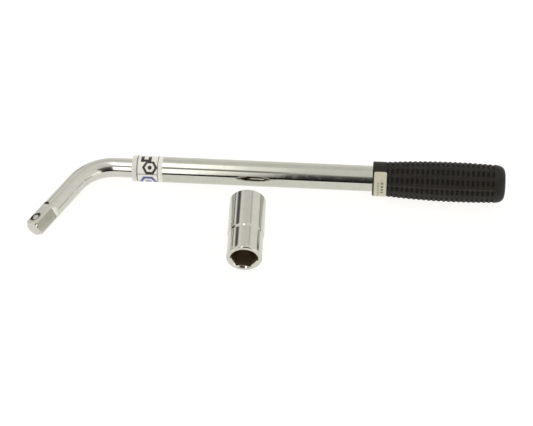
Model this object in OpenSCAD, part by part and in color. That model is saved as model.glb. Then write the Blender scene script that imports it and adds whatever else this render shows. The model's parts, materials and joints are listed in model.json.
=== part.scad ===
// Telescopic lug wrench: a cranked half-inch drive bar that slides and turns in a gripped tube,
// with a loose double-ended hex socket lying beside it. Millimetres, +Z up, lying on the floor.
// The tool's own frame has the tube's axis along +X, from the mouth towards the grip's butt.

/* [Handle tube] */
// Outside diameter of the tube
tube_d = 21.2; // [21:0.1:22]
// Bore of the tube
tube_bore = 18; // [17.8:0.1:18.2]
// Distance from the mouth to the grip's butt
handle_len = 304.4; // [300:0.1:312]
// How far the bar pulls out between the two catches
extension = 150; // [100:5:150]
// Depth of the two catch grooves in the bore
catch_depth = 0.6; // [0.4:0.1:0.7]

/* [Mouth bush] */
// Diameter of the bush's rim
rim_d = 21.6; // [21.5:0.1:22.4]
// Length of the rim in front of the tube
rim_len = 4; // [3:0.5:5]
// Length of the bush inside the tube
bush_len = 22; // [16:1:24]
// Bore that the bar slides in
bush_bore = 16.1; // [16.1:0.02:16.2]

/* [Drive bar] */
// Diameter of the bar
bar_d = 16; // [15.9:0.1:16]
// Straight neck between the mouth and the bend
neck_len = 14.2; // [8:0.1:20]
// Angle that the bar turns through
bend_angle = 63; // [55:1:75]
// Radius of the bend's centreline
bend_r = 34.5; // [30:0.5:40]
// Straight arm from the bend to the tip
arm_len = 58; // [52:0.5:70]
// Diameter of the journal on the bar's inner end
journal_d = 12; // [11.5:0.1:12]

/* [Drive square] */
// Distance between opposite flats, for half-inch sockets
square_af = 12.7; // [12.7:0.1:12.7]
// Length of the flats from the tip
square_len = 19.5; // [17:0.5:21]
// Radius of the cutter that leaves each flat's runout
runout_r = 9; // [7:0.5:12]
// Turn of the ball's flat away from straight up, towards the outside of the bend
flat_twist = 27; // [20:1:32]
// Length of the cone on the tip
tip_cone_len = 1.9; // [1.5:0.1:3]
// Diameter of the tip's end face
tip_face_d = 12; // [10:0.2:12.6]

/* [Detent] */
// Diameter of the detent ball
ball_d = 6; // [5.6:0.1:6]
// Distance from the tip to the ball's centre
ball_from_tip = 7.9; // [6.5:0.1:8]
// How far the ball stands out of its flat
ball_proud = 1; // [0.8:0.05:1]
// Wire of the detent spring
spring_wire = 0.7; // [0.5:0.05:0.7]

/* [Grip] */
// Diameter of the plain collar
collar_d = 28.2; // [27:0.1:30]
// Length of the plain collar
collar_len = 11.6; // [11:0.1:14]
// Largest diameter over the ribs
grip_d = 33; // [31:0.1:35]
// Length of the whole grip
grip_len = 107.2; // [106:0.1:112]
// Distance between ribs
rib_pitch = 4.05; // [3.9:0.05:4.05]
// Height of the ribs
rib_h = 0.65; // [0.4:0.05:0.8]
// Thickness of the butt behind the tube's end
butt_wall = 4; // [3:0.5:6]
// Radius of the butt's edge
butt_edge_r = 6; // [3:0.5:6]

/* [Labels] */
// End of the wrap label, from the mouth
wrap_end = 25.3; // [20:0.1:30]
// Thickness of the two labels
label_t = 0.15; // [0.1:0.05:0.2]
// Width of the grip sticker along the grip
sticker_w = 10.2; // [8:0.1:10.6]
// Arc that the grip sticker covers
sticker_arc = 130; // [90:5:150]

/* [Socket] */
// Length of the socket
socket_len = 60.8; // [56:0.1:64]
// Diameter of the large end
socket_d = 29.5; // [28:0.1:30.5]
// Diameter of the small end
socket_small_d = 28.4; // [27:0.1:29]
// Length of the small end, without its shoulder
small_end_len = 22.5; // [18:0.5:26]
// Hex across flats in the large end
large_hex = 21; // [21:1:21]
// Hex across flats in the small end
small_hex = 19; // [19:1:19]
// Depth of each hex
hex_depth = 24; // [20:0.5:24]
// Socket's small end, from the mouth towards the grip
socket_x = 100.3; // [90:0.1:120]
// Socket's small end, from the tube's axis towards the open side of the bend
socket_y = 94; // [90:0.5:110]
// Turn of the socket on the floor
socket_yaw = 2.2; // [0:0.1:5]

/* [Hidden] */
$fn = 96;
eps = 0.01;
through = 1;  // extra length of a cutter past the face that it opens

// Inside of the telescope
bar_r = bar_d / 2;
tube_end = handle_len - butt_wall;
journal_x = 185;          // shoulder where the bar steps down to its journal
sleeve_len = 15;
sleeve_gap = 0.15;        // end play on each side of the sleeve
sleeve_d = tube_bore - 0.1;
sleeve_bore = journal_d + 0.12;
sleeve_x = journal_x + sleeve_gap;
ring_wire = 1.8;
ring_x = sleeve_x + sleeve_len / 2;
ring_outer_r = tube_bore / 2 + catch_depth - 0.15;
ring_gap_angle = 22;
ring_slot_w = ring_wire + 0.4;
ring_slot_r = 6.9;
clip_t = 1;
clip_slot_w = 1.1;
clip_slot_r = 5.4;
clip_outer_r = 8.2;
clip_x = sleeve_x + sleeve_len + sleeve_gap;
bar_inner_end = clip_x + clip_t + 1.6;
catch_half_w = 1.1;
catch_slope = 0.9;

// Bend and arm
bend_end = [
  -neck_len - bend_r * sin(bend_angle),
  -bend_r * (1 - cos(bend_angle))
];
tip = bend_end - arm_len * [cos(bend_angle), sin(bend_angle)];
square_half = square_af / 2;

// Detent
ball_r = ball_d / 2;
ball_h = square_half + ball_proud - ball_r;   // ball's centre, from the arm's axis
ball_bore_d = ball_d + 0.1;
ball_bore_floor = -4.5;
lip_d = ball_d - 0.3;
lip_h = ball_h + sqrt(pow(ball_r, 2) - pow(lip_d / 2, 2)) + 0.1;
peen_d = 8.4;
peen_depth = 0.6;
spring_mean_r = 2.15;
spring_turns = 4.5;

// Grip
grip_start = handle_len - grip_len;
rib_count = 22;
first_rib_x = grip_start + collar_len + 2.3;
swell_peak = grip_start + 64.6;
swell_reach = 50;
swell_drop = 1.95;
rib_crest = 1.7;
rib_foot = 3;
butt_r = 15;
sticker_top = 71;         // upper end of the grip sticker, as an angle above the horizontal
sticker_inset = 1.3;

// How the tool lies: on the bush's rim, on the grip's lowest rib, and on the tip of the arm
rim_r = rim_d / 2;
lift = atan(max([for (i = [0 : rib_count - 1]) (rib_r(i) - rim_r) / rib_x(i)]));
axis_z = rim_r * cos(lift);
corner_half_arc = 45 - acos(square_half / bar_r);
corner_from_down = 90 - 45 - flat_twist - corner_half_arc;
tip_r = bar_r * cos(corner_from_down);
tip_rest = tip + tip_cone_len * [cos(bend_angle), sin(bend_angle)];
roll = asin((axis_z + tip_rest.x * sin(lift) - tip_r) / (-tip_rest.y * cos(lift)));

// Middle of the floor that the object covers
left_x = tip.x - bar_r * sin(bend_angle) + tip_cone_len * cos(bend_angle);
front_y = -socket_y - socket_small_d / 2 * sin(socket_yaw);
middle = [(handle_len + left_x) / 2, (grip_d / 2 + front_y) / 2];

// Radius over the crest of the grip at a place along it
function swell(x) = grip_d / 2 - swell_drop * pow((x - swell_peak) / swell_reach, 2);
function rib_x(i) = first_rib_x + i * rib_pitch;
function rib_r(i) = swell(rib_x(i));

// Points of an arc, from one angle to another
function arc(centre, r, from, to, steps = 6) =
  [for (i = [0 : steps]) let (a = from + (to - from) * i / steps) centre + r * [cos(a), sin(a)]];

// Puts the tool down on the floor
module lay() {
  translate([-middle.x, -middle.y, axis_z]) rotate([0, -lift, 0]) rotate([roll, 0, 0]) children();
}

// Turns a profile of radius and length round the tube's axis
module turned(angle = 360) {
  rotate([0, 90, 0]) rotate_extrude(angle = angle) children();
}

// Frame of the arm: +Z runs along it to the tip
module at_arm() {
  translate([bend_end.x, bend_end.y, 0]) rotate([0, 0, 180 + bend_angle]) rotate([0, 90, 0])
    children();
}

// Frame of the square, within the arm's: +X is square to the ball's flat
module at_flat() {
  rotate([0, 0, 180 + flat_twist]) children();
}

module handle_tube() {
  retracted = ring_x;
  extended = ring_x - extension;
  color([0.80, 0.79, 0.75]) lay() turned() difference() {
    polygon(concat(
      [[tube_bore / 2, rim_len], [tube_d / 2 - 0.3, rim_len], [tube_d / 2, rim_len + 0.3]],
      [[tube_d / 2, tube_end - 0.5], [tube_d / 2 - 0.5, tube_end], [tube_bore / 2, tube_end]]
    ));
    for (x = [retracted, extended])
      polygon([
        [tube_bore / 2 - through, x - catch_half_w - catch_slope],
        [tube_bore / 2, x - catch_half_w - catch_slope],
        [tube_bore / 2 + catch_depth, x - catch_half_w],
        [tube_bore / 2 + catch_depth, x + catch_half_w],
        [tube_bore / 2, x + catch_half_w + catch_slope],
        [tube_bore / 2 - through, x + catch_half_w + catch_slope]
      ]);
  }
}

module mouth_bush() {
  edge = 0.8;
  color([0.93, 0.92, 0.87]) lay() turned() polygon(concat(
    [[bush_bore / 2 + 0.5, 0]],
    arc([rim_r - edge, edge], edge, -90, 0),
    [[rim_r, rim_len], [tube_bore / 2, rim_len], [tube_bore / 2, rim_len + bush_len]],
    [[bush_bore / 2, rim_len + bush_len], [bush_bore / 2, 0.5]]
  ));
}

module wrap_label() {
  seam_gap = 6;
  wrap_start = rim_len + 0.3;
  color([0.95, 0.93, 0.88]) lay() rotate([90, 0, 0]) turned(360 - seam_gap)
    translate([tube_d / 2, wrap_start]) square([label_t, wrap_end - wrap_start]);
}

module grip() {
  collar_r = collar_d / 2;
  collar_edge = 1;
  collar_end = grip_start + collar_len;
  band_start = rib_x(rib_count - 1) + rib_foot / 2 + 0.4;
  color([0.16, 0.15, 0.13]) lay() turned() polygon(concat(
    [[tube_d / 2, grip_start]],
    arc([collar_r - collar_edge, grip_start + collar_edge], collar_edge, -90, 0),
    [[collar_r, collar_end]],
    [for (i = [0 : rib_count - 1], side = [-1, 1], foot = side < 0 ? [1, 0] : [0, 1])
      [rib_r(i) - foot * rib_h, rib_x(i) + side * (foot * rib_foot + (1 - foot) * rib_crest) / 2]],
    arc([butt_r - 0.4, band_start + 0.4], 0.4, -90, 0, 3),
    arc([butt_r - butt_edge_r, handle_len - butt_edge_r], butt_edge_r, 0, 90, 8),
    [[0, handle_len], [0, tube_end], [tube_d / 2, tube_end]]
  ));
}

module grip_sticker() {
  color([0.93, 0.91, 0.80]) lay() rotate([270 - sticker_top, 0, 0]) turned(sticker_arc)
    translate([collar_d / 2, grip_start + sticker_inset]) square([label_t, sticker_w]);
}

// Outline of the bar's straight inner part: radius against distance along the tube
module bar_outline() {
  edge = 0.6;
  polygon([
    [0, -neck_len], [bar_r, -neck_len],
    [bar_r, journal_x - edge], [bar_r - edge, journal_x], [journal_d / 2, journal_x],
    [journal_d / 2, clip_x - 0.05], [clip_slot_r, clip_x - 0.05],
    [clip_slot_r, clip_x - 0.05 + clip_slot_w], [journal_d / 2, clip_x - 0.05 + clip_slot_w],
    [journal_d / 2, bar_inner_end - edge], [journal_d / 2 - edge, bar_inner_end], [0, bar_inner_end]
  ]);
}

// Cutter for one flat of the square, with the round runout of a milling cutter
module flat_cutter() {
  start = arm_len - square_len;
  rotate([90, 0, 0]) linear_extrude(2 * bar_d, center = true) polygon(concat(
    [[square_half, arm_len + through]],
    arc([square_half + runout_r, start], runout_r, 180, 270, 12),
    [[square_half + runout_r, arm_len + through]]
  ));
}

module drive_bar() {
  bend_mark = 0.03;       // faint step that the bending tool leaves where the arm starts
  bend_mark_len = 0.6;
  color([0.78, 0.77, 0.73]) lay() {
    turned() bar_outline();
    translate([-neck_len, -bend_r, 0]) rotate([0, 0, 90]) rotate_extrude(angle = bend_angle)
      translate([bend_r, 0]) circle(bar_r);
    at_arm() difference() {
      rotate_extrude() polygon([
        [0, 0], [bar_r - bend_mark, 0], [bar_r, bend_mark_len],
        [bar_r, arm_len - tip_cone_len], [tip_face_d / 2, arm_len], [0, arm_len]
      ]);
      at_flat() {
        for (side = [0 : 3]) rotate([0, 0, 90 * side]) flat_cutter();
        translate([0, 0, arm_len - ball_from_tip]) rotate([0, 90, 0]) {
          translate([0, 0, ball_bore_floor]) cylinder(d = ball_bore_d, h = lip_h - ball_bore_floor);
          cylinder(d = lip_d, h = bar_d);
          translate([0, 0, square_half - peen_depth])
            cylinder(d1 = lip_d, d2 = peen_d, h = peen_depth + eps);
        }
      }
    }
  }
}

module guide_sleeve() {
  color([0.55, 0.52, 0.45]) lay() turned() difference() {
    translate([sleeve_bore / 2, sleeve_x])
      square([(sleeve_d - sleeve_bore) / 2, sleeve_len]);
    translate([ring_slot_r, ring_x - ring_slot_w / 2]) square([sleeve_d, ring_slot_w]);
  }
}

module lock_ring() {
  color([0.35, 0.35, 0.37]) lay() turned(360 - ring_gap_angle)
    translate([ring_outer_r - ring_wire / 2, ring_x]) circle(d = ring_wire, $fn = 32);
}

module bar_clip() {
  color([0.30, 0.30, 0.32]) lay() translate([clip_x, 0, 0]) rotate([0, 90, 0]) difference() {
    cylinder(r = clip_outer_r, h = clip_t);
    translate([0, 0, -through]) cylinder(r = clip_slot_r + 0.1, h = clip_t + 2 * through);
    translate([0, -clip_slot_r + 1, -through])
      cube([clip_outer_r + through, 2 * (clip_slot_r - 1), clip_t + 2 * through]);
  }
}

module detent_ball() {
  color([0.72, 0.72, 0.72]) lay() at_arm() at_flat() translate([ball_h, 0, arm_len - ball_from_tip])
    sphere(ball_r);
}

// Round wire swept along a helix that is flattened at both ends
module detent_spring() {
  steps = 16;
  sides = 8;
  wire_r = spring_wire / 2;
  low = ball_bore_floor + wire_r + 0.05;
  high = ball_h - sqrt(pow(ball_r, 2) - pow(spring_mean_r, 2)) - wire_r - 0.25;
  rings = spring_turns * steps;
  function rise(i) = let (t = (i / rings - 0.12) / 0.76) low + (high - low) * min(1, max(0, t));
  points = [
    for (i = [0 : rings], j = [0 : sides - 1])
      let (turn = 360 * i / steps, side = 360 * j / sides, r = spring_mean_r + wire_r * cos(side))
        [r * cos(turn), r * sin(turn), rise(i) + wire_r * sin(side)]
  ];
  walls = [
    for (i = [0 : rings - 1], j = [0 : sides - 1])
      let (k = (j + 1) % sides)
        [i * sides + j, i * sides + k, (i + 1) * sides + k, (i + 1) * sides + j]
  ];
  ends = [[for (j = [sides - 1 : -1 : 0]) j], [for (j = [0 : sides - 1]) rings * sides + j]];
  color([0.45, 0.45, 0.45]) lay() at_arm() at_flat()
    translate([0, 0, arm_len - ball_from_tip]) rotate([0, 90, 0])
      polyhedron(points, concat(walls, ends), convexity = 6);
}

// One hex recess of the socket, opening at z = 0 and running up
module hex_recess(across) {
  across_corners = across / cos(30);
  translate([0, 0, -through]) cylinder(d = across_corners, h = hex_depth + through, $fn = 6);
  translate([0, 0, -eps]) cylinder(d1 = across_corners + 0.6, d2 = across, h = 1.8);
  translate([0, 0, hex_depth - eps]) cylinder(d1 = across, d2 = square_af, h = 3);
}

module socket() {
  shoulder = 2;
  small_edge = 1.6;
  large_edge = 1;
  small_r = socket_small_d / 2;
  large_r = socket_d / 2;
  square_hole = square_af + 0.25;
  hex_turn = 6;
  recess_d = 5;
  color([0.76, 0.74, 0.70])
    translate([socket_x - middle.x, -socket_y - middle.y, large_r]) rotate([0, 0, socket_yaw])
      rotate([-90, 0, 0]) difference() {
        rotate_extrude() polygon(concat(
          [[0, 0]],
          arc([small_r - small_edge, small_edge], small_edge, -90, 0),
          [[small_r, small_end_len], [large_r, small_end_len + shoulder]],
          arc([large_r - large_edge, socket_len - large_edge], large_edge, 0, 90),
          [[0, socket_len]]
        ));
        rotate([0, 0, hex_turn]) {
          hex_recess(small_hex);
          translate([0, 0, socket_len]) mirror([0, 0, 1]) hex_recess(large_hex);
          translate([-square_hole / 2, -square_hole / 2, hex_depth])
            cube([square_hole, square_hole, socket_len - 2 * hex_depth]);
          for (turn = [0, 90]) translate([0, 0, socket_len / 2]) rotate([0, 90, turn])
            cylinder(d = recess_d, h = square_hole + 1.6, center = true);
        }
      }
}

handle_tube();
mouth_bush();
wrap_label();
grip();
grip_sticker();
drive_bar();
guide_sleeve();
lock_ring();
bar_clip();
detent_ball();
detent_spring();
socket();
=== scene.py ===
import json
import math

import bmesh
import bpy
import numpy as np
from mathutils import Matrix, Vector


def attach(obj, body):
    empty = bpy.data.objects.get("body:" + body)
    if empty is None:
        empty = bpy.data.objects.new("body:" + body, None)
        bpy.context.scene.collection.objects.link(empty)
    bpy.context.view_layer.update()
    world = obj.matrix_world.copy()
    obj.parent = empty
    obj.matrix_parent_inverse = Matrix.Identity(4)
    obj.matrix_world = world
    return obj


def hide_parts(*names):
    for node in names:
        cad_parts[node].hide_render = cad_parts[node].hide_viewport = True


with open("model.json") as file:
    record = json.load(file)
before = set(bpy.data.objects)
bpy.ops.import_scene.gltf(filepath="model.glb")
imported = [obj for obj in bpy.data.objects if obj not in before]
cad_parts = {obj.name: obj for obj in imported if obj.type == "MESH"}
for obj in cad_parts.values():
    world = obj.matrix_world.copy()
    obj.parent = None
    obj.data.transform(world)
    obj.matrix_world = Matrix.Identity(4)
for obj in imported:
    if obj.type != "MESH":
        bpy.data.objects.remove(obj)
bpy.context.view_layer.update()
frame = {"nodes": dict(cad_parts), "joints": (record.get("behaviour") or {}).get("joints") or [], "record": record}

# ---------------------------------------------------------------- frames
# Lengths are in millimetres inside the builders; TOOL and the seats turn them into the row frame's metres.

joints = {j["name"]: j for j in frame["joints"]}
mounts = {m["name"]: m for m in frame["record"]["mounts"]}


def placed(x, y, z, origin):
    m = Matrix((x, y, z)).transposed().to_4x4()
    m.translation = origin
    return np.array(m @ Matrix.Scale(0.001, 4))


swivel = joints["bar_swivel"]
tube_x = -Vector(swivel["axis"]).normalized()
arm_z = Vector(mounts["tip_face"]["axis"]).normalized()
tool_y = -(arm_z - tube_x * arm_z.dot(tube_x)).normalized()
tool_z = tube_x.cross(tool_y)
ball_n = -Vector(joints["detent_press"]["axis"]).normalized()

TOOL = placed(tube_x, tool_y, tool_z, Vector(swivel["pos_m"]))
tip_face = Vector(mounts["tip_face"]["pos_m"])

ARM_LEN = 58.0
BEND_R = 34.5
NECK = 14.2
BEND = math.acos(-tube_x.dot(arm_z))
BAR_R = 8.0
SQUARE_HALF = 6.35
SQUARE_LEN = 19.5
RUNOUT_R = 9.0
BALL_BACK = 7.9
BALL_UP = 4.35
BALL_R = 3.0

# Angles round the tube's axis are elevations: 0 faces the front, 90 the top
FLAT_TURN = math.atan2(ball_n.dot(tool_z), ball_n.dot(tool_y * math.cos(BEND) - tube_x * math.sin(BEND)))


def mesh_object(name, verts, faces, matrix=None, sharp=32.0):
    """A closed mesh from vertices in millimetres, shaded smooth, with sharp edges above an angle."""
    verts = np.asarray(verts, float)
    if matrix is not None:
        verts = verts @ matrix[:3, :3].T + matrix[:3, 3]
    mesh = bpy.data.meshes.new(name)
    mesh.from_pydata(verts.tolist(), [], faces)
    mesh.validate()
    obj = bpy.data.objects.new(name, mesh)
    bpy.context.scene.collection.objects.link(obj)
    tidy_normals(mesh, sharp)
    return obj


def tidy_normals(mesh, sharp):
    bm = bmesh.new()
    bm.from_mesh(mesh)
    bmesh.ops.recalc_face_normals(bm, faces=bm.faces)
    bm.to_mesh(mesh)
    bm.free()
    mesh.polygons.foreach_set("use_smooth", [True] * len(mesh.polygons))
    mesh.set_sharp_from_angle(angle=math.radians(sharp))


def ring_faces(rings, n, loop=False, caps=(False, False)):
    """Quads between rings of n vertices. A cap is one more vertex, after all the rings, at that end."""
    faces = []
    for i in range(rings if loop else rings - 1):
        a, b = i * n, (i + 1) % rings * n
        faces += [(a + k, a + (k + 1) % n, b + (k + 1) % n, b + k) for k in range(n)]
    pole = rings * n
    if caps[0]:
        faces += [(pole, (k + 1) % n, k) for k in range(n)]
        pole += 1
    if caps[1]:
        last = (rings - 1) * n
        faces += [(pole, last + k, last + (k + 1) % n) for k in range(n)]
    return faces


def lathe(name, profile, matrix, n=192, loop=True, sharp=32.0):
    """Turns (along, radius) points round a frame's X axis. An open profile starts and ends on the axis."""
    inner = profile if loop else profile[1:-1]
    turn = np.arange(n) * 2 * np.pi / n
    rings = [np.column_stack([np.full(n, x), -r * np.cos(turn), r * np.sin(turn)]) for x, r in inner]
    verts = np.vstack(rings)
    if not loop:
        ends = [[profile[0][0], 0, 0], [profile[-1][0], 0, 0]]
        verts = np.vstack([verts, ends])
    faces = ring_faces(len(inner), n, loop, (not loop, not loop))
    return mesh_object(name, verts, faces, matrix, sharp)


def arc(x, r, size, start, end, steps=8):
    """Points of a rounded edge: centre (x, r), from one angle to another, 0 along +X and 90 outwards."""
    turn = np.radians(np.linspace(start, end, steps + 1))
    return [(x + size * math.cos(t), r + size * math.sin(t)) for t in turn]


def smooth(v, low, high):
    t = np.clip((v - low) / (high - low), 0, 1)
    return t * t * (3 - 2 * t)


def paint(mesh, name, values):
    """Stores one number for each vertex, which the materials read."""
    mesh.attributes.new(name, "FLOAT", "POINT").data.foreach_set("value", np.asarray(values, np.float32))


def round_tube(x, r, e):
    """Points at an elevation e, in radians, round the tool's axis."""
    return np.stack([x + 0 * e, -r * np.cos(e), r * np.sin(e)], -1)


# ---------------------------------------------------------------- materials


class Nodes:
    """Short hands for building a node tree."""

    def __init__(self, tree):
        self.tree = tree
        tree.nodes.clear()

    def link(self, source, target):
        self.tree.links.new(source, target)
        return target

    def maths(self, operation, *values, clamp=False):
        node = self.tree.nodes.new("ShaderNodeMath")
        node.operation = operation
        node.use_clamp = clamp
        for i, value in enumerate(values):
            if isinstance(value, (int, float)):
                node.inputs[i].default_value = value
            else:
                self.link(value, node.inputs[i])
        return node.outputs[0]

    def between(self, value, low, high, start=0.0, end=1.0):
        node = self.tree.nodes.new("ShaderNodeMapRange")
        node.interpolation_type = "SMOOTHSTEP"
        self.link(value, node.inputs["Value"])
        for key, number in (("From Min", low), ("From Max", high), ("To Min", start), ("To Max", end)):
            node.inputs[key].default_value = number
        return node.outputs["Result"]

    def mix(self, factor, a, b):
        node = self.tree.nodes.new("ShaderNodeMix")
        node.data_type = "RGBA"
        for slot, value in (("Factor", factor), ("A", a), ("B", b)):
            socket = [s for s in node.inputs if s.name == slot and s.enabled][0]
            if isinstance(value, (int, float)):
                socket.default_value = value
            elif isinstance(value, tuple):
                socket.default_value = (*value, 1)
            else:
                self.link(value, socket)
        return [s for s in node.outputs if s.enabled][0]

    def noise(self, size_mm, detail=3.0, stretch=(1, 1, 1), seed=0.0):
        """Noise with a grain of that size, on the object's own coordinates."""
        coords = self.tree.nodes.new("ShaderNodeTexCoord")
        mapping = self.tree.nodes.new("ShaderNodeMapping")
        mapping.inputs["Scale"].default_value = tuple(1000 * s / size_mm for s in stretch)
        mapping.inputs["Location"].default_value = (seed, seed * 1.7, seed * 2.3)
        node = self.tree.nodes.new("ShaderNodeTexNoise")
        node.inputs["Scale"].default_value = 1.0
        node.inputs["Detail"].default_value = detail
        self.link(coords.outputs["Object"], mapping.inputs["Vector"])
        self.link(mapping.outputs["Vector"], node.inputs["Vector"])
        return node.outputs["Fac"]

    def bump(self, height, distance_mm, strength=1.0, normal=None):
        node = self.tree.nodes.new("ShaderNodeBump")
        node.inputs["Strength"].default_value = strength
        node.inputs["Distance"].default_value = distance_mm / 1000
        self.link(height, node.inputs["Height"])
        if normal is not None:
            self.link(normal, node.inputs["Normal"])
        return node.outputs["Normal"]

    def attribute(self, name):
        node = self.tree.nodes.new("ShaderNodeAttribute")
        node.attribute_name = name
        return node.outputs["Fac"]

    def surface(self, **values):
        node = self.tree.nodes.new("ShaderNodeBsdfPrincipled")
        for key, value in values.items():
            socket = node.inputs[key.replace("_", " ")]
            if isinstance(value, tuple):
                socket.default_value = (*value, 1)
            elif isinstance(value, (int, float)):
                socket.default_value = value
            else:
                self.link(value, socket)
        out = self.tree.nodes.new("ShaderNodeOutputMaterial")
        self.link(node.outputs[0], out.inputs["Surface"])
        return node


def material(name):
    mat = bpy.data.materials.new(name)
    mat.use_nodes = True
    return mat, Nodes(mat.node_tree)


def metal(name, tint, rough, scratch=(8, 1, 1), scratch_mm=0.6, wear=0.05, painted_shade=None):
    """Plated or bare metal with fine drawing lines, ripples and smudges. The last argument names a painted number
    that darkens and roughens the metal as painted shade.
    """
    mat, n = material(name)
    smudge = n.between(n.noise(6.0, 4.0), 0.35, 0.7)
    lines = n.noise(scratch_mm, 2.0, tuple(1.0 / s for s in scratch), 3.0)
    ripple = n.noise(14.0, 1.0, seed=5.0)
    roughness = n.maths("ADD", n.maths("MULTIPLY", smudge, wear), rough)
    specks = n.between(n.noise(0.8, 2.0, seed=9.0), 0.70, 0.78)
    color = n.mix(n.maths("MULTIPLY", smudge, 0.35), tint, tuple(c * 0.85 for c in tint))
    color = n.mix(n.maths("MULTIPLY", specks, 0.3), color, tuple(c * 0.45 for c in tint))
    if painted_shade:
        # Painted shade: where the named number is high, the colour goes towards near black
        color = n.mix(n.attribute(painted_shade), color, (0.035, 0.03, 0.024))
        roughness = n.maths("ADD", roughness, n.maths("MULTIPLY", n.attribute(painted_shade), 0.3))
    normal = n.bump(ripple, 0.02, 0.5)
    normal = n.bump(lines, 0.004, 0.5, normal)
    n.surface(Base_Color=color, Metallic=1.0, Roughness=roughness, Normal=normal)
    return mat


def nylon():
    mat, n = material("natural_nylon")
    cloud = n.noise(3.0, 3.0)
    color = n.mix(n.between(cloud, 0.3, 0.7), (0.80, 0.79, 0.74), (0.72, 0.71, 0.66))
    normal = n.bump(n.noise(0.35, 2.0), 0.02, 0.4)
    n.surface(Base_Color=color, Roughness=0.42, Normal=normal, Subsurface_Weight=0.08, Subsurface_Scale=0.001)
    return mat


def rubber():
    mat, n = material("moulded_rubber")
    groove_shade, parting = n.attribute("groove_shade"), n.attribute("parting")
    dust = n.between(n.noise(5.0, 4.0), 0.35, 0.75)
    speck = n.between(n.noise(0.5, 2.0, seed=4.0), 0.60, 0.72)
    color = n.mix(dust, (0.0125, 0.0102, 0.0065), (0.0195, 0.0168, 0.0115))
    color = n.mix(n.maths("MULTIPLY", speck, 0.22), color, (0.046, 0.041, 0.031))
    # Painted shade: the rubber goes near black down in the grooves
    color = n.mix(n.maths("MULTIPLY", groove_shade, 0.8), color, (0.004, 0.003, 0.0018))
    color = n.mix(n.maths("MULTIPLY", parting, 0.55), color, (0.062, 0.052, 0.038))
    rough = n.between(n.noise(1.5, 3.0, seed=2.0), 0.3, 0.7, 0.50, 0.68)
    normal = n.bump(n.noise(0.5, 3.0, seed=7.0), 0.06, 0.5)
    n.surface(Base_Color=color, Roughness=rough, Normal=normal, Specular_IOR_Level=0.25)
    return mat


def printed(name, paper, rough, inks):
    """Printed film: the paper's colour under inks that vertex numbers place."""
    mat, n = material(name)
    stain = n.between(n.noise(4.0, 4.0), 0.35, 0.75)
    color = n.mix(n.maths("MULTIPLY", stain, 0.5), paper, tuple(c * 0.93 for c in paper))
    for attribute, ink in inks:
        color = n.mix(n.attribute(attribute), color, ink)
    rough = n.between(n.noise(2.0, 2.0, seed=2.0), 0.3, 0.7, rough, rough + 0.1)
    normal = n.bump(n.noise(1.2, 2.0, seed=1.0), 0.01, 0.5)
    n.surface(Base_Color=color, Roughness=rough, Normal=normal)
    return mat


CHROME_TUBE = metal("chrome_on_tube", (0.54, 0.545, 0.487), 0.045, scratch=(1, 40, 40), scratch_mm=0.5)
CHROME_BAR = metal(
    "chrome_on_bar", (0.60, 0.595, 0.545), 0.07, scratch=(1, 12, 12), scratch_mm=0.5, wear=0.09, painted_shade="painted_shade"
)
CHROME_SOCKET = metal("chrome_on_socket", (0.60, 0.59, 0.54), 0.06, scratch=(1, 1, 30), scratch_mm=0.5)
# Darker brown steel for the faces down inside the recesses: painted shade for the dark inside of the hexes
SOCKET_INSIDE_SHADE = metal("painted_shade_steel_inside_socket", (0.33, 0.26, 0.18), 0.42, scratch=(1, 1, 8), wear=0.15)
SLEEVE_METAL = metal("oiled_bronze", (0.42, 0.34, 0.22), 0.28, wear=0.1)
SPRING_METAL = metal("spring_steel", (0.30, 0.30, 0.31), 0.30, wear=0.12)
BALL_METAL = metal("polished_ball_steel", (0.50, 0.49, 0.47), 0.12, scratch=(1, 1, 1), scratch_mm=0.3)
NYLON = nylon()
RUBBER = rubber()


def finished(obj, mat, body, slot, *nodes):
    """Gives a piece its look, its body and the CAD nodes it stands for."""
    obj.data.materials.append(mat)
    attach(obj, body)
    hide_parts(*nodes)
    return obj


# ---------------------------------------------------------------- handle tube and bush

MOUTH_RIM = 4.0
HANDLE_LEN = 304.4
TUBE_END = 300.4
TUBE_R = 10.6
BORE_R = 9.0
CATCHES = (42.65, 192.65)
BUSH_R = 10.8
BUSH_BORE_R = 8.05
BUSH_REACH = 22.0


def catch(x):
    """One shallow groove inside the tube, where the lock ring clicks."""
    return [(x - 0.95, BORE_R), (x - 0.55, BORE_R + 0.3), (x + 0.55, BORE_R + 0.3), (x + 0.95, BORE_R)]


def make_tube():
    outer = arc(MOUTH_RIM + 0.3, TUBE_R - 0.3, 0.3, 180, 90, 4)
    outer += [(x, TUBE_R) for x in np.linspace(6, TUBE_END - 1, 60)]
    outer += arc(TUBE_END - 0.5, TUBE_R - 0.5, 0.5, 90, 0, 4)
    inner = [(TUBE_END, BORE_R)] + catch(CATCHES[1])[::-1] + catch(CATCHES[0])[::-1] + [(MOUTH_RIM, BORE_R)]
    tube = lathe("handle_tube_chromed", outer + inner, TOOL, 256)
    return finished(tube, CHROME_TUBE, "handle", "chrome_tube", "handle_tube")


def make_bush():
    edge = 0.8
    profile = arc(0.45, 8.5, 0.45, 180, 270, 5)[::-1]
    profile += arc(edge, BUSH_R - edge, edge, 180, 90, 8)
    profile += [(MOUTH_RIM - 0.1, BUSH_R), (MOUTH_RIM, BUSH_R - 0.1), (MOUTH_RIM, BORE_R)]
    profile += [(MOUTH_RIM + BUSH_REACH, BORE_R), (MOUTH_RIM + BUSH_REACH, BUSH_BORE_R), (0.6, BUSH_BORE_R)]
    bush = lathe("nylon_mouth_bush", profile, TOOL, 192)
    return finished(bush, NYLON, "handle", "nylon", "mouth_bush")


# ---------------------------------------------------------------- wrap label and grip sticker

FILM = 0.15
LABEL_X = (4.3, 25.3)
STICKER_X = (198.5, 208.7)


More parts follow.
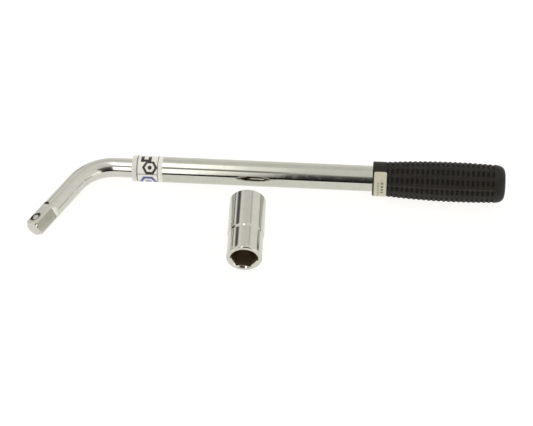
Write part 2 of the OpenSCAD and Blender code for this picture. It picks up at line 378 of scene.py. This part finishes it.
def shell(name, span, top_e, sweep, r, inks, corner=0.0, step=0.25):
    """A thin film round the tool's axis, from elevation top_e down through sweep degrees, with painted inks.
    inks(x, s) returns a dict of arrays; s is the distance round the film in mm, up from elevation 0."""
    x0, x1 = span
    nx = int((x1 - x0) / step) + 1
    ne = int(math.radians(sweep) * r / step) + 1
    turn = np.radians(np.linspace(top_e, top_e - sweep, ne))
    x, e = np.meshgrid(np.linspace(x0, x1, nx), turn, indexing="ij")
    if corner:
        inset = np.clip(corner - r * np.minimum(e.max() - e, e - e.min()), 0, corner)
        half, middle = (x1 - x0) / 2, (x0 + x1) / 2
        x = middle + (x - middle) * (half - corner + np.sqrt(corner**2 - inset**2)) / half
    top = round_tube(x, r + FILM, e).reshape(-1, 3)
    under = round_tube(x, r + 0.004, e).reshape(-1, 3)
    count = nx * ne

    def index(i, j):
        return i * ne + j

    faces = []
    for i in range(nx - 1):
        for j in range(ne - 1):
            quad = (index(i, j), index(i + 1, j), index(i + 1, j + 1), index(i, j + 1))
            faces.append(quad)
            faces.append(tuple(count + q for q in reversed(quad)))
    rim = [index(i, 0) for i in range(nx)] + [index(nx - 1, j) for j in range(1, ne)]
    rim += [index(i, ne - 1) for i in range(nx - 2, -1, -1)] + [index(0, j) for j in range(ne - 2, 0, -1)]
    for a, b in zip(rim, rim[1:] + rim[:1]):
        faces.append((a, b, count + b, count + a))
    obj = mesh_object(name, np.vstack([top, under]), faces, TOOL, 40)
    for key, value in inks(x, e * (r + FILM)).items():
        flat = value.reshape(-1)
        paint(obj.data, key, np.concatenate([flat, flat]))
    return obj


def stroke(distance, half_width, soft=0.12):
    """1 within half_width of a line, fading to 0 over soft."""
    return 1 - smooth(np.abs(distance), half_width - soft, half_width + soft)


def filled(distance, soft=0.12):
    """1 where a signed distance is negative."""
    return 1 - smooth(distance, -soft, soft)


def hexagon(u, v, apothem):
    u, v = np.abs(u), np.abs(v)
    return np.maximum(u * 0.5 + v * math.sqrt(3) / 2, u) - apothem


def block(u, v, half_u, half_v):
    return np.maximum(np.abs(u) - half_u, np.abs(v) - half_v)


def label_inks(x, s):
    def at(degrees):
        return math.radians(degrees) * (TUBE_R + FILM)

    frame_line = np.maximum(stroke(x - 4.6, 0.3), stroke(x - 21.4, 0.28))
    divider = stroke(s - at(22), 0.22) * filled(block(x - 13.1, s * 0, 8.3, 1))
    u, v = x - 15.0, s - at(53)
    outline = filled(np.abs(hexagon(v, u, 4.5)) - 1.0)
    hole = filled(np.hypot(u, v) - 1.7)
    fork_left = filled(block(x - 8.6, s - at(97), 1.3, 3.6))
    fork_right = filled(block(x - 14.6, s - at(97), 1.3, 3.6))
    fork_join = filled(block(x - 11.6, s - at(86), 4.3, 1.3))
    black = np.max([frame_line, divider, outline, hole, fork_left, fork_right, fork_join], 0)
    low = s - at(11) + 6.7
    nut = filled(np.abs(hexagon(low, x - 13.6, 5.5)) - 1.15)
    stud = filled(np.hypot(x - 13.6, low) - 2.9)
    return {"black": black, "blue": nut, "pale_blue": stud}


def sticker_inks(x, s):
    u = x - sum(STICKER_X) / 2

    def marks(across, half_width, middle, half_height, wave):
        """A column of soft marks, cut from a stripe where the wave is low."""
        column = stroke(u - across, half_width) * filled(block(u * 0, s - middle, 1, half_height))
        return column * filled(wave, 0.45)

    big = marks(1.5, 1.05, 4.2, 6.2, np.sin(s * 2.15) - 0.35)
    small = marks(-1.7, 0.8, 1.5, 8.0, np.sin(s * 2.9 + 1) - 0.25)
    foot = filled(block(u + 0.2, s + 10.2, 2.2, 0.7)) * 0.7
    frame_line = stroke(block(u, s + 0.2, 4.5, 15.2), 0.12)
    return {"ink": np.max([big, 0.75 * small, foot], 0), "frame_line": frame_line}


def make_label():
    label = shell("printed_wrap_label", LABEL_X, 180, 354, TUBE_R, label_inks)
    inks = (("black", (0.03, 0.025, 0.025)), ("blue", (0.08, 0.10, 0.30)), ("pale_blue", (0.30, 0.33, 0.42)))
    mat = printed("label_film", (0.86, 0.845, 0.80), 0.22, inks)
    return finished(label, mat, "handle", "label", "wrap_label")


def make_sticker():
    sticker = shell("printed_grip_sticker", STICKER_X, 71, 130, COLLAR_R, sticker_inks, corner=1.4)
    inks = (("ink", (0.20, 0.185, 0.105)), ("frame_line", (0.45, 0.42, 0.31)))
    mat = printed("sticker_paper", (0.60, 0.575, 0.45), 0.45, inks)
    return finished(sticker, mat, "handle", "sticker", "grip_sticker")


# ---------------------------------------------------------------- grip

GRIP_START = 197.2
COLLAR_END = 208.8
COLLAR_R = 14.1
BUTT_R = 15.0
BUTT_EDGE = 6.0
RIBS = 22
RIB_PITCH = 4.05
FIRST_RIB = 211.1
LAST_RIB = FIRST_RIB + (RIBS - 1) * RIB_PITCH
DASH_ROWS = 12
DASH_TURN = 15.3
PARTING_E = 26.0
GRIP_R = 16.5
SWELL_PEAK = 64.6


def swell(x):
    return GRIP_R - 1.95 * ((x - GRIP_START - SWELL_PEAK) / 50) ** 2


def grip_radius(x, e):
    """Radius over the grip at a place along it and an elevation in radians, with two numbers for its look:
    how deep in a groove the place is, which darkens the rubber as painted shade, and how near the parting line."""
    ribbed = (x > COLLAR_END) & (x < LAST_RIB)
    phase = ((x - FIRST_RIB) / RIB_PITCH + 0.5) % 1.0 - 0.5
    across = np.abs(phase) * RIB_PITCH
    groove = smooth(across, 0.75, 1.55)
    row = ((np.degrees(e) - DASH_TURN) * DASH_ROWS / 360 + 0.5) % 1.0 - 0.5
    off_row = np.abs(row) * 360 / DASH_ROWS
    dash = 1 - smooth(off_row, 5.5, 10.0)
    depth = np.where(ribbed, groove * (0.40 + 0.85 * dash), 0.0)
    from_seam = np.abs((np.degrees(e) - PARTING_E + 90) % 180 - 90)
    seam = 0.12 * (1 - smooth(from_seam, 0.5, 1.5))
    crest = swell(np.clip(x, FIRST_RIB, LAST_RIB)) - 0.12
    r = np.where(ribbed, crest - depth + seam * (1 - dash), 0.0)
    edge = 1.0
    front = GRIP_START + edge - x
    collar = COLLAR_R - edge + np.sqrt(np.clip(edge**2 - np.clip(front, 0, edge) ** 2, 0, None))
    collar = np.where(x > COLLAR_END - 0.5, COLLAR_R - 0.5 * smooth(x, COLLAR_END - 0.5, COLLAR_END), collar)
    r = np.where(x <= COLLAR_END, collar, r)
    back = np.clip(x - (HANDLE_LEN - BUTT_EDGE), 0, BUTT_EDGE)
    butt = BUTT_R - BUTT_EDGE + np.sqrt(np.clip(BUTT_EDGE**2 - back**2, 0, None))
    butt = butt + (crest - BUTT_R) * (1 - smooth(x, LAST_RIB, LAST_RIB + 4))
    r = np.where(x >= LAST_RIB, butt, r)
    parting = np.where(ribbed, (1 - smooth(from_seam, 0.8, 2.2)) * (1 - 0.5 * groove), 0.0)
    return r, np.where(ribbed, groove * (0.2 + 0.8 * dash), 0.0), parting


def make_grip():
    n = 360
    stations = np.concatenate([
        GRIP_START + 1 - np.cos(np.linspace(0, np.pi / 2, 7)),
        np.linspace(GRIP_START + 1.5, COLLAR_END - 0.5, 10),
        np.linspace(COLLAR_END - 0.4, COLLAR_END, 4),
        np.arange(COLLAR_END + 0.001, LAST_RIB, 0.27),
        np.linspace(LAST_RIB, HANDLE_LEN - BUTT_EDGE, 8),
        HANDLE_LEN - BUTT_EDGE * np.cos(np.linspace(0.12, np.pi / 2, 20)),
    ])
    stations = np.unique(np.round(np.clip(stations, GRIP_START, HANDLE_LEN), 5))
    e = np.arange(n) * 2 * np.pi / n
    rings = [round_tube(np.full(n, x), TUBE_R + 0 * e, e) for x in (TUBE_END, GRIP_START)]
    groove_shade, parting = [np.zeros(n), np.zeros(n)], [np.zeros(n), np.zeros(n)]
    for x in stations:
        r, deep, near_seam = grip_radius(np.full(n, x), e)
        rings.append(round_tube(np.full(n, x), r, e))
        groove_shade.append(deep)
        parting.append(near_seam)
    for r in (9.0, 4.0):
        rings.append(round_tube(np.full(n, HANDLE_LEN), r + 0 * e, e))
        groove_shade.append(np.zeros(n))
        parting.append(np.zeros(n))
    verts = np.vstack(rings + [np.array([[TUBE_END, 0, 0], [HANDLE_LEN, 0, 0]])])
    grip = mesh_object("ribbed_rubber_grip", verts, ring_faces(len(rings), n, False, (True, True)), TOOL, 50)
    # The groove depth, which the rubber turns into painted shade
    paint(grip.data, "groove_shade", np.concatenate(groove_shade + [np.zeros(2)]))
    paint(grip.data, "parting", np.concatenate(parting + [np.zeros(2)]))
    return finished(grip, RUBBER, "handle", "grip_rubber", "grip")


# ---------------------------------------------------------------- drive bar

BAR_INNER_END = 202.9
STUB_START = 185.0
STUB_R = 6.0
TIP_R = 6.0
TIP_CONE = 1.9
TIP_ROUND = 0.25
BALL_BORE_R = 3.05
PEENED_R = 2.85


def bar_angles():
    """Angles round the bar, counted from the ball's flat, with samples on the corners of the square."""
    half = math.degrees(math.acos(SQUARE_HALF / BAR_R))
    quarter = np.concatenate([np.linspace(-half, half, 41)[:-1], np.linspace(half, 90 - half, 9)[:-1]])
    return np.radians(np.concatenate([quarter + 90 * k for k in range(4)]))


def make_bar():
    turns = bar_angles()
    off = (np.degrees(turns) + 45) % 90 - 45
    n = len(turns)
    bend_c = np.array([-NECK, -BEND_R, 0.0])
    rings = []

    def ring(centre, side, r):
        a = turns + FLAT_TURN
        rings.append(centre + np.outer(r * np.cos(a), side) + np.outer(r * np.sin(a), [0, 0, 1.0]))

    # The stub with the clip's groove, then the straight shank back to the neck
    inner = [(BAR_INNER_END, 5.4), (202.3, STUB_R), (201.45, STUB_R), (201.45, 5.2), (200.25, 5.2)]
    inner += [(200.25, STUB_R), (STUB_START, STUB_R), (STUB_START, 7.4), (184.82, 7.82), (184.4, BAR_R)]
    inner += [(x, BAR_R) for x in np.concatenate([np.linspace(184, 0, 47), np.linspace(-2, -NECK, 8)])]
    for x, r in inner:
        ring(np.array([x, 0, 0]), np.array([0, 1.0, 0]), np.full(n, r))
    for t in np.linspace(0, BEND, 49)[1:]:
        outward = np.array([-math.sin(t), math.cos(t), 0])
        ring(bend_c + BEND_R * outward, outward, np.full(n, BAR_R))
    outward = np.array([-math.sin(BEND), math.cos(BEND), 0])
    along = np.array([-math.cos(BEND), -math.sin(BEND), 0])
    start = ARM_LEN - SQUARE_LEN
    runout = math.sqrt(RUNOUT_R**2 - (RUNOUT_R - (BAR_R - SQUARE_HALF)) ** 2)
    stations = np.concatenate([
        np.linspace(1.5, start - runout - 0.5, 14),
        np.linspace(start - runout, start, 26),
        np.arange(start + 0.25, ARM_LEN - TIP_CONE, 0.25),
        np.linspace(ARM_LEN - TIP_CONE, ARM_LEN - TIP_ROUND, 12),
        ARM_LEN - TIP_ROUND + TIP_ROUND * np.sin(np.linspace(0.3, np.pi / 2, 4)),
    ])
    for s in stations:
        if s < start - runout:
            h = BAR_R
        elif s < start:
            h = SQUARE_HALF + RUNOUT_R - math.sqrt(RUNOUT_R**2 - (start - s) ** 2)
        else:
            h = SQUARE_HALF
        flat = h / np.maximum(np.cos(np.radians(off)), 0.1)
        limit = BAR_R - (BAR_R - TIP_R) * max(0, s - (ARM_LEN - TIP_CONE)) / TIP_CONE
        past = max(0, s - (ARM_LEN - TIP_ROUND))
        limit -= TIP_ROUND - math.sqrt(max(0, TIP_ROUND**2 - past**2))
        ring(bend_c + BEND_R * outward + along * s, outward, np.minimum(np.minimum(BAR_R, flat), limit))
    centre_out = bend_c + BEND_R * outward + along * ARM_LEN
    verts = np.vstack(rings + [np.array([[BAR_INNER_END, 0, 0], centre_out])])
    faces = ring_faces(len(rings), n, False, (True, True))
    bar = mesh_object("cranked_drive_bar", verts, faces, TOOL, 24)

    # The ball's bore, with the ring peened in round its mouth
    seat = placed(*ball_axes(), tip_face - arm_z * BALL_BACK / 1000)
    bore = [(-4.5, 0), (-4.5, BALL_BORE_R), (5.387, BALL_BORE_R), (5.387, PEENED_R)]
    bore += [(SQUARE_HALF - 0.6, PEENED_R), (SQUARE_HALF, 4.2)]
    bore += [(SQUARE_HALF + 0.4, 5.1), (SQUARE_HALF + 0.4, 0)]
    cutter = lathe("bore_cutter", bore, seat, 96, loop=False)
    cut = bar.modifiers.new("bore", "BOOLEAN")
    cut.operation = "DIFFERENCE"
    cut.solver = "EXACT"
    cut.object = cutter
    evaluated = bar.evaluated_get(bpy.context.evaluated_depsgraph_get())
    shape = bpy.data.meshes.new_from_object(evaluated)
    bar.modifiers.clear()
    bar.data = shape
    bar.data.materials.clear()
    tidy_normals(bar.data, 24)
    bpy.data.objects.remove(cutter)

    # Painted shade on the flat in a ring round the ball, just outside the bore's cone
    points = np.array([v.co for v in bar.data.vertices]) * 1000 - seat[:3, 3] * 1000
    along_seat = points @ np.array(ball_n)
    off_axis = np.sqrt(np.maximum((points**2).sum(1) - along_seat**2, 0))
    paint(bar.data, "painted_shade", (along_seat > 5) * (1 - smooth(off_axis, 4.4, 5.1)))
    return finished(bar, CHROME_BAR, "bar", "chrome_bar", "drive_bar")


def ball_axes():
    """A frame whose X axis leaves the ball's flat and whose Y axis runs along the arm."""
    return ball_n, arm_z, ball_n.cross(arm_z)


def make_ball():
    seat = placed(*ball_axes(), tip_face - arm_z * BALL_BACK / 1000)
    turn = np.linspace(0, np.pi, 49)
    profile = [(BALL_UP - BALL_R * math.cos(t), max(BALL_R * math.sin(t), 0)) for t in turn]
    ball = lathe("detent_ball_polished", profile, seat, 96, loop=False)
    return finished(ball, BALL_METAL, "detent", "ball_steel", "detent_ball")


# ---------------------------------------------------------------- loose socket

SOCKET_LEN = 60.8
SMALL_R = 14.2
LARGE_R = 14.75
SMALL_EDGE = 1.6
LARGE_EDGE = 1.0
SHOULDER = (22.35, 24.65)
HEX_DEPTH = 24.0
SMALL_HEX = 19
LARGE_HEX = 21
HEX_TURN = 6
SQUARE_HOLE = 12.95
BALL_HOLLOW_R = 2.5


def make_socket():
    z_out = Vector(mounts["large_hex"]["axis"]).normalized()
    near = Vector(mounts["small_hex"]["pos_m"])
    side = Vector((z_out.y, -z_out.x, 0)).normalized()
    # X along the socket from its near end, Y across it, Z down, as the CAD model turns its hexes
    seat = placed(z_out, side, z_out.cross(side), near)
    n = 240
    turn = np.radians(np.arange(n) * 360 / n)
    degrees = np.degrees(turn)
    off_flat = np.radians((degrees + 45) % 90 - 45)

    def hexed(across):
        return across / 2 / np.cos(np.radians(degrees % 60 - 30))

    square = SQUARE_HOLE / 2 / np.cos(off_flat)
    rings, inside = [], []

    def ring(x, r, is_inside):
        rings.append((x, r + 0 * turn))
        inside.append(is_inside)

    for x, r in arc(SMALL_EDGE, SMALL_R - SMALL_EDGE, SMALL_EDGE, 180, 90, 10):
        ring(x, r, False)
    for x in np.linspace(4, 22.2, 14):
        ring(x, SMALL_R, False)
    for x in np.linspace(*SHOULDER, 10):
        ring(x, SMALL_R + (LARGE_R - SMALL_R) * float(smooth(x, *SHOULDER)), False)
    for x in np.linspace(25.5, SOCKET_LEN - LARGE_EDGE - 0.5, 20):
        ring(x, LARGE_R, False)
    for x, r in arc(SOCKET_LEN - LARGE_EDGE, LARGE_R - LARGE_EDGE, LARGE_EDGE, 90, 0, 8):
        ring(x, r, False)

    def recess(across, place, order):
        """One hex with its lead-in cone, and the cone down to the square; order -1 runs outwards."""
        corners = across / math.cos(math.radians(30))
        depths = np.concatenate([np.linspace(0, 2.0, 12), np.linspace(3, HEX_DEPTH, 12)])
        items = []
        for d in depths:
            cone = corners / 2 + 0.3 - (corners / 2 + 0.3 - across / 2) * min(d / 1.8, 1)
            items.append((place(d), np.maximum(hexed(across), cone), d > 1.2))
        items.append((place(HEX_DEPTH), across / 2 + 0 * turn, True))
        for d in np.linspace(0.25, 3, 10):
            r = across / 2 - (across / 2 - SQUARE_HALF - 0.125) * d / 3
            items.append((place(HEX_DEPTH + d), np.maximum(square, r), True))
        for x, r, shaded in items[::order]:
            ring(x, r, shaded)

    recess(LARGE_HEX, lambda d: SOCKET_LEN - d, 1)
    across_face = square * np.abs(np.sin(off_flat))
    for x in np.linspace(SOCKET_LEN - HEX_DEPTH - 3.3, HEX_DEPTH + 3.3, 21):
        hollow = np.hypot(across_face, x - SOCKET_LEN / 2) < BALL_HOLLOW_R
        ring(x, np.where(hollow, SQUARE_HOLE / 2 + 0.8, square), True)
    recess(SMALL_HEX, lambda d: d, -1)

    a = turn + math.radians(HEX_TURN)
    verts = np.vstack([np.column_stack([np.full(n, x), r * np.cos(a), r * np.sin(a)]) for x, r in rings])
    faces = ring_faces(len(rings), n, True)
    socket = mesh_object("double_ended_socket", verts, faces, seat, 28)
    finished(socket, CHROME_SOCKET, "loose_socket", "chrome_socket", "socket")
    # The faces deep in the recesses take the darker steel as painted shade
    socket.data.materials.append(SOCKET_INSIDE_SHADE)
    shaded_faces = np.repeat([int(a and b) for a, b in zip(inside, inside[1:] + inside[:1])], n)
    socket.data.polygons.foreach_set("material_index", shaded_faces.tolist())
    return socket


make_tube()
make_bush()
make_label()
make_grip()
make_sticker()
make_bar()
make_ball()
make_socket()

for node, mat in (
    ("guide_sleeve", SLEEVE_METAL),
    ("lock_ring", SPRING_METAL),
    ("bar_clip", SPRING_METAL),
    ("detent_spring", SPRING_METAL),
):
    mesh = frame["nodes"][node].data
    mesh.materials.clear()
    mesh.materials.append(mat)

# ---------------------------------------------------------------- floor


def make_floor():
    floor = mesh_object("studio_floor", [(-6, -6, 0), (6, -6, 0), (6, 6, 0), (-6, 6, 0)], [(0, 1, 2, 3)])
    mat, n = material("pale_floor")
    n.surface(
        Base_Color=(0.16, 0.158, 0.154),
        Roughness=0.9,
        Specular_IOR_Level=0.0,
        Emission_Color=(1.0, 0.99, 0.965),
        Emission_Strength=0.92,
    )
    floor.data.materials.append(mat)
    floor.location.z = -0.0002


make_floor()

# ---------------------------------------------------------------- light

# A white tent with a softbox and dark cards


HORIZON_LOW, HORIZON_SPAN = 30.0, 210.0
BRIGHTEST = 2.5


def make_world():
    world = bpy.data.worlds.new("studio")
    bpy.context.scene.world = world
    world.use_nodes = True
    n = Nodes(world.node_tree)
    direction = n.tree.nodes.new("ShaderNodeTexCoord").outputs["Generated"]
    split = n.tree.nodes.new("ShaderNodeSeparateXYZ")
    n.link(direction, split.inputs[0])
    x, y, z = split.outputs
    rise = n.maths("MULTIPLY", n.maths("ARCTAN2", z, n.maths("MULTIPLY", y, -1.0)), 180 / math.pi)
    place = n.maths("DIVIDE", n.maths("ADD", rise, HORIZON_LOW), HORIZON_SPAN, clamp=True)

    def ramp(points):
        node = n.tree.nodes.new("ShaderNodeValToRGB")
        node.color_ramp.interpolation = "EASE"
        items = node.color_ramp.elements
        while len(items) < len(points):
            items.new(0.5)
        for item, (degrees, light) in zip(items, points):
            item.position = (degrees + HORIZON_LOW) / HORIZON_SPAN
            item.color = (light / BRIGHTEST, light / BRIGHTEST, light / BRIGHTEST, 1)
        n.link(place, node.inputs[0])
        return n.maths("MULTIPLY", node.outputs[0], BRIGHTEST)

    def blend(a, b, factor):
        kept = n.maths("MULTIPLY", a, n.maths("SUBTRACT", 1.0, factor))
        return n.maths("ADD", kept, n.maths("MULTIPLY", b, factor))

    # By elevation from the front horizon: the softbox with its bars, its dim end, the flag and a white card
    softbox = ramp([
        (-30, 1.05), (-7, 1.05), (-5, 0.03), (13, 0.03), (16, 2.2), (51, 2.2),
        (55, 0.42), (67, 0.42), (71, 2.2), (102, 2.2), (112, 1.0), (180, 0.95),
    ])
    dim_end = ramp([
        (-30, 1.05), (-7, 1.05), (-5, 0.03), (14, 0.03), (21, 0.9), (50, 1.2),
        (55, 0.36), (67, 0.36), (71, 1.25), (102, 1.25), (112, 1.0), (180, 0.95),
    ])
    flag = ramp([
        (-30, 1.05), (-8, 1.05), (-5, 0.01), (10, 0.02), (30, 0.06), (46, 0.14),
        (55, 0.35), (62, 0.9), (120, 0.95), (180, 0.95),
    ])
    white_card = ramp([(-30, 1.05), (-6, 1.0), (0, 1.5), (24, 1.5), (34, 1.0), (120, 1.0), (180, 1.0)])
    light = blend(1.0, softbox, n.between(x, -0.30, -0.22))
    light = blend(light, dim_end, n.between(x, -0.135, -0.10))
    light = blend(light, flag, n.between(x, -0.090, -0.070))
    light = blend(light, white_card, n.between(x, 0.44, 0.50))

    def card(centre, inner, outer, level):
        """Scales the light round one direction by level, fading out from inner to outer degrees."""
        nonlocal light
        middle = Vector(centre).normalized()
        near = n.maths("ADD", n.maths("MULTIPLY", x, middle.x), n.maths("MULTIPLY", y, middle.y))
        dot = n.maths("ADD", near, n.maths("MULTIPLY", z, middle.z))
        inside = n.between(dot, math.cos(math.radians(outer)), math.cos(math.radians(inner)))
        light = n.maths("MULTIPLY", light, n.maths("SUBTRACT", 1.0, n.maths("MULTIPLY", inside, 1.0 - level)))

    card((-0.615, 0.67, 0.415), 4, 12, 0.12)
    card((0.32, 0.67, 0.67), 1, 5, 0.72)
    card((0.74, 0.67, -0.05), 5, 9, 0.4)
    card((-0.74, 0.67, 0.03), 4, 7, 0.2)
    card((-0.93, 0.28, 0.25), 11, 15, 0.06)
    card((-0.351, -0.796, 0.493), 5, 9, 0.02)
    card((-0.449, 0.869, 0.205), 2.5, 6, 0.35)
    card((-0.212, 0.749, 0.628), 2, 5, 0.6)
    card((0.222, 0.528, 0.822), 2, 7, 1.5)
    card((-0.05, 0.67, 0.74), 8, 26, 0.88)
    card((-0.46, 0.87, 0.15), 6, 22, 0.82)

    seen = n.tree.nodes.new("ShaderNodeLightPath").outputs["Is Camera Ray"]
    light = blend(light, 1.02, seen)
    tint = n.tree.nodes.new("ShaderNodeBackground")
    tint.inputs["Color"].default_value = (1.0, 0.985, 0.95, 1)
    n.link(light, tint.inputs["Strength"])
    out = n.tree.nodes.new("ShaderNodeOutputWorld")
    n.link(tint.outputs[0], out.inputs["Surface"])


make_world()

# ---------------------------------------------------------------- camera

azimuth, elevation, distance = math.radians(4.65), math.radians(48.0), 1.2915
aim = Vector((0.00005, -0.00114, 0.0101))
level, lift = math.cos(elevation), math.sin(elevation)
back = Vector((math.sin(azimuth) * level, -math.cos(azimuth) * level, lift))
camera = bpy.data.objects.new("camera", bpy.data.cameras.new("camera"))
bpy.context.scene.collection.objects.link(camera)
bpy.context.scene.camera = camera
camera.data.sensor_width = 36
camera.data.lens = 108.3
camera.data.clip_start = 0.05
camera.data.clip_end = 20
camera.location = aim + back * distance
camera.rotation_mode = "QUATERNION"
camera.rotation_quaternion = (-back).to_track_quat("-Z", "Y")

bpy.context.scene.view_settings.view_transform = "Standard"
